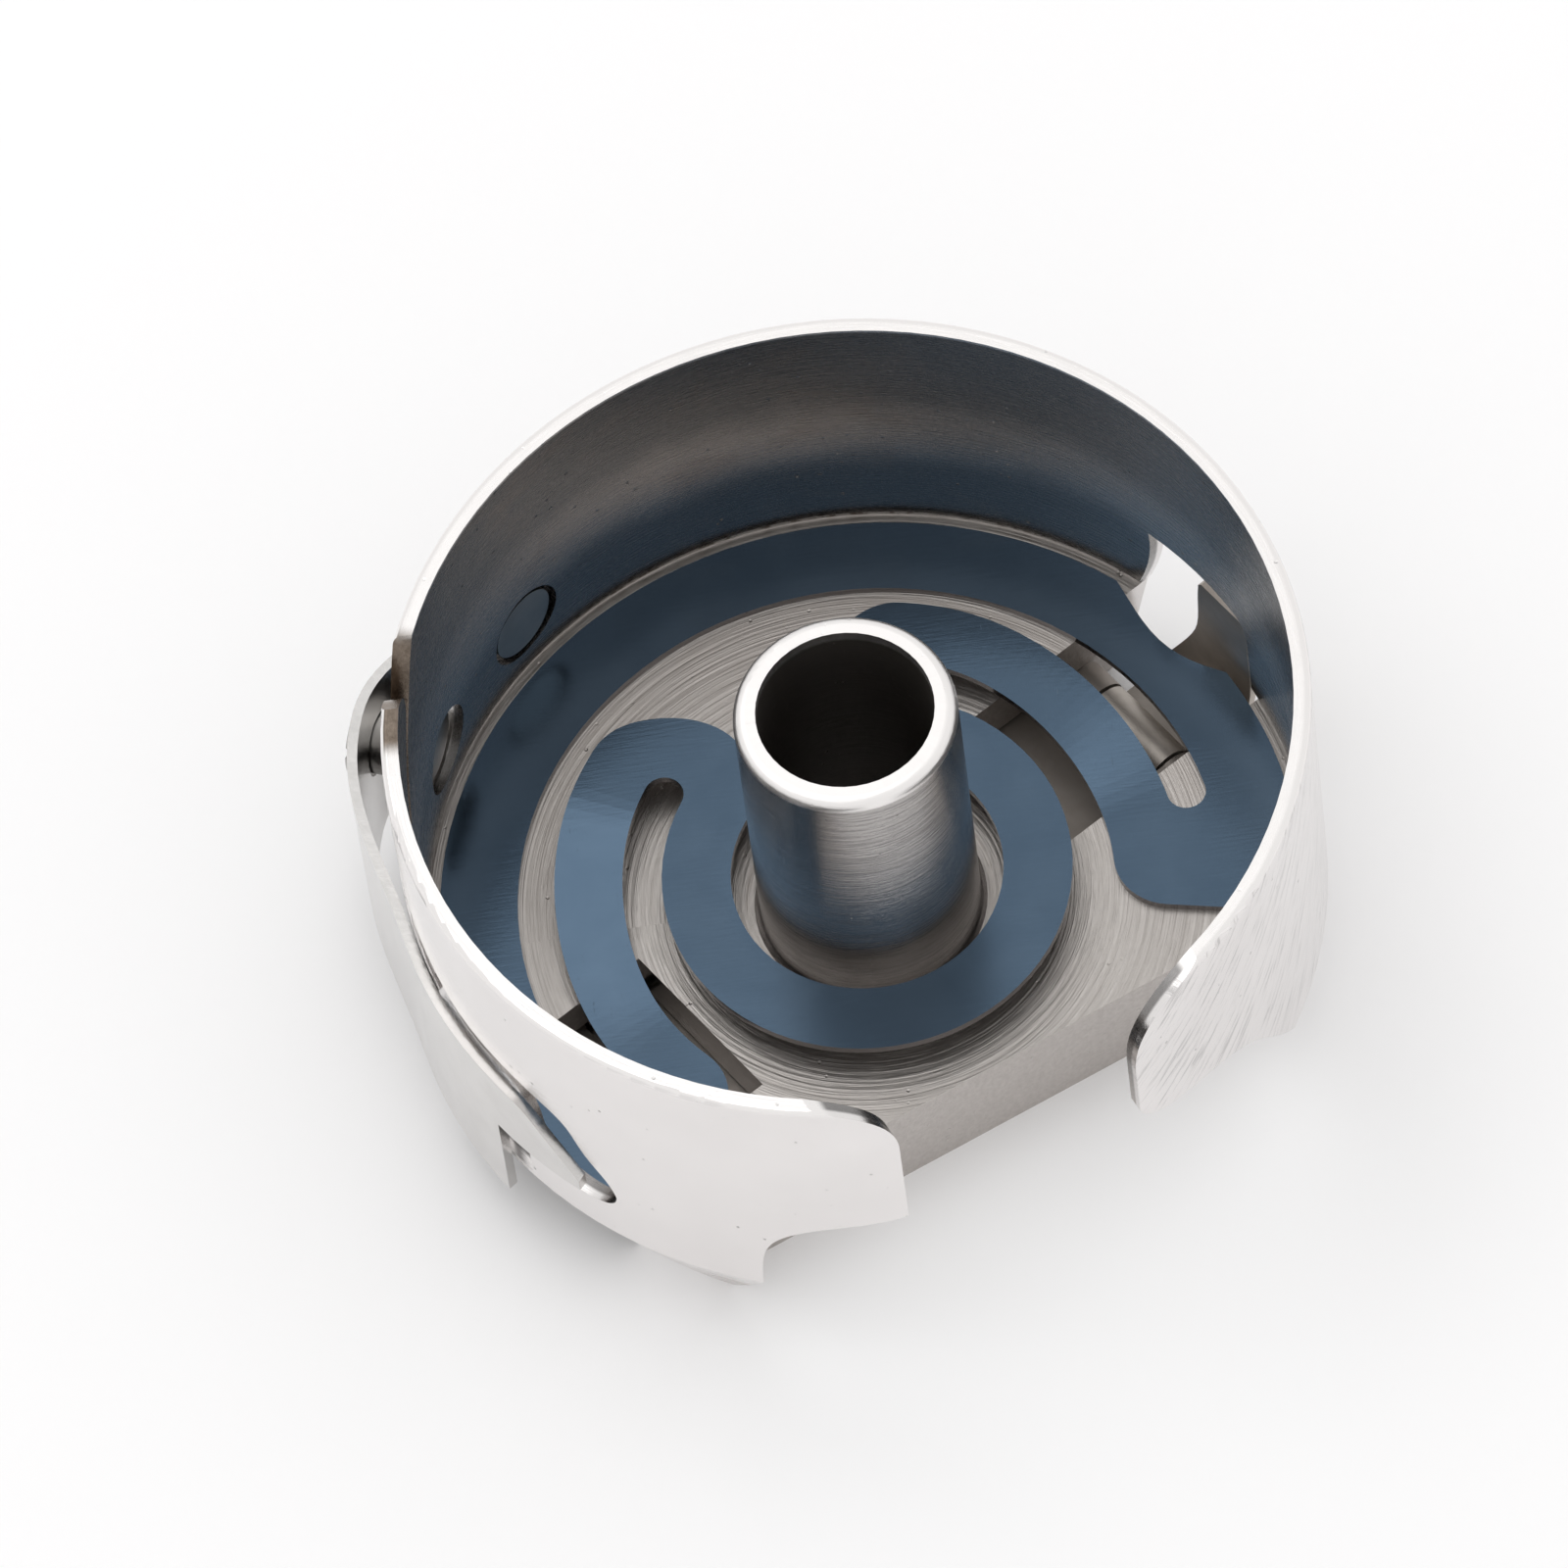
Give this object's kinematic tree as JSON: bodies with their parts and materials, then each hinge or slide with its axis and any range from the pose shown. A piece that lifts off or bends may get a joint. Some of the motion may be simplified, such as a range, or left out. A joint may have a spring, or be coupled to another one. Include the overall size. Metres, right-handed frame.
{
  "type": "bobbin case",
  "caption": "Round steel bobbin case for a rotary sewing hook, with centre tube, anti-spin spring, thread tension spring and a hinged latch",
  "frame": {"origin": "on the axis of the centre tube, in the plane of the base face", "axes": "+Z along the tube out of the mouth, +X to the right of the pictured view, +Y away from the viewer"},
  "size_m": [0.0245, 0.0234, 0.0121],
  "materials": {
    "case_steel": "bright outside, satin inside",
    "tube_steel": "turned and polished",
    "blued_steel": "heat-blued satin",
    "leaf_steel": "polished",
    "screw_steel": "turned",
    "latch_steel": "ground",
    "slide_steel": "satin",
    "pin_steel": "satin",
    "coil_steel": "drawn wire"
  },
  "bodies": {
    "case": {"case_body": "case_steel", "centre_tube": "tube_steel", "anti_spin_spring": "blued_steel", "tension_spring": "leaf_steel", "fixing_screw": "screw_steel", "latch_coil_spring": "coil_steel"},
    "slide": {"latch_slide": "slide_steel", "lever_hinge_pin": "pin_steel"},
    "lever": {"latch_lever": "latch_steel"},
    "tension_adjuster": {"tension_screw": "screw_steel"}
  },
  "joints": [
    {"name": "slide_travel", "type": "slide", "parent": "case", "child": "slide", "axis": [0.8434, 0.5373, 0], "range_m": [0, 0.0015], "deforming": ["latch_coil_spring"]},
    {"name": "lever_hinge", "type": "hinge", "parent": "slide", "child": "lever", "pos_m": [0.00742, 0.00473, 0.00085], "axis": [0.5373, -0.8434, 0], "range_deg": [0, 45]},
    {"name": "tension_screw_turn", "type": "hinge", "parent": "case", "child": "tension_adjuster", "pos_m": [-0.01133, 0.00528, 0.0052], "axis": [-0.9063, 0.4226, 0], "range_deg": [-180, 180]}
  ],
  "couplings": [
    {"joint": "slide_travel", "follows": "lever_hinge", "m_per_rad": 0.0019089}
  ]
}
